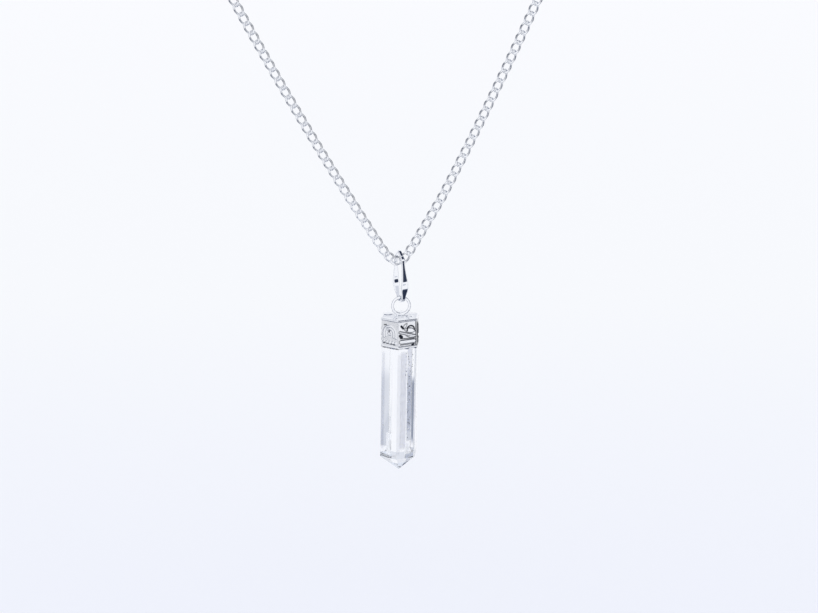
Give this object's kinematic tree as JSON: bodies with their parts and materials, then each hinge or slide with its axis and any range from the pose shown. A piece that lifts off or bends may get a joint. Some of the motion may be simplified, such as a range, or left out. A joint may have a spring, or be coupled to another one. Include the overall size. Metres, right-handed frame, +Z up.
{
  "type": "crystal point pendant on a curb chain",
  "caption": "Clear six-sided quartz point in a stamped silver cap, hung by an eye ring and a loop bail on a closed curb chain necklace.",
  "frame": {"origin": "middle of the chain's line at the nape, where the closed loop rests on a neck or a peg", "axes": "+Z up, +X to the right seen from the front, -Y towards the viewer of the pendant"},
  "size_m": [0.1039, 0.0092, 0.2305],
  "materials": {
    "chain_silver": "bright silver plate on round wire, polished",
    "clasp_silver": "bright silver plate, polished",
    "bail_silver": "bright silver plate on flat band, mirror polished",
    "cap_silver": "stamped silver plate, bright on the relief and duller and darker in the recesses",
    "quartz": "clear polished quartz with faint veils and specks inside"
  },
  "bodies": {
    "necklace": {"chain_left": "chain_silver", "chain_right": "chain_silver", "clasp": "clasp_silver", "end_ring": "clasp_silver"},
    "bail": {"bail": "bail_silver"},
    "point": {"cap": "cap_silver", "crystal": "quartz"}
  },
  "joints": [
    {"name": "bail_swing", "type": "hinge", "parent": "necklace", "child": "bail", "pos_m": [0.00997, 0, -0.17978], "axis": [0.8982, 0.4384, 0.0329], "range_deg": [-50, 50]},
    {"name": "point_swing", "type": "hinge", "parent": "bail", "child": "point", "pos_m": [0.01031, 0, -0.18903], "axis": [0.1736, -0.9848, 0], "range_deg": [-35, 35]}
  ]
}
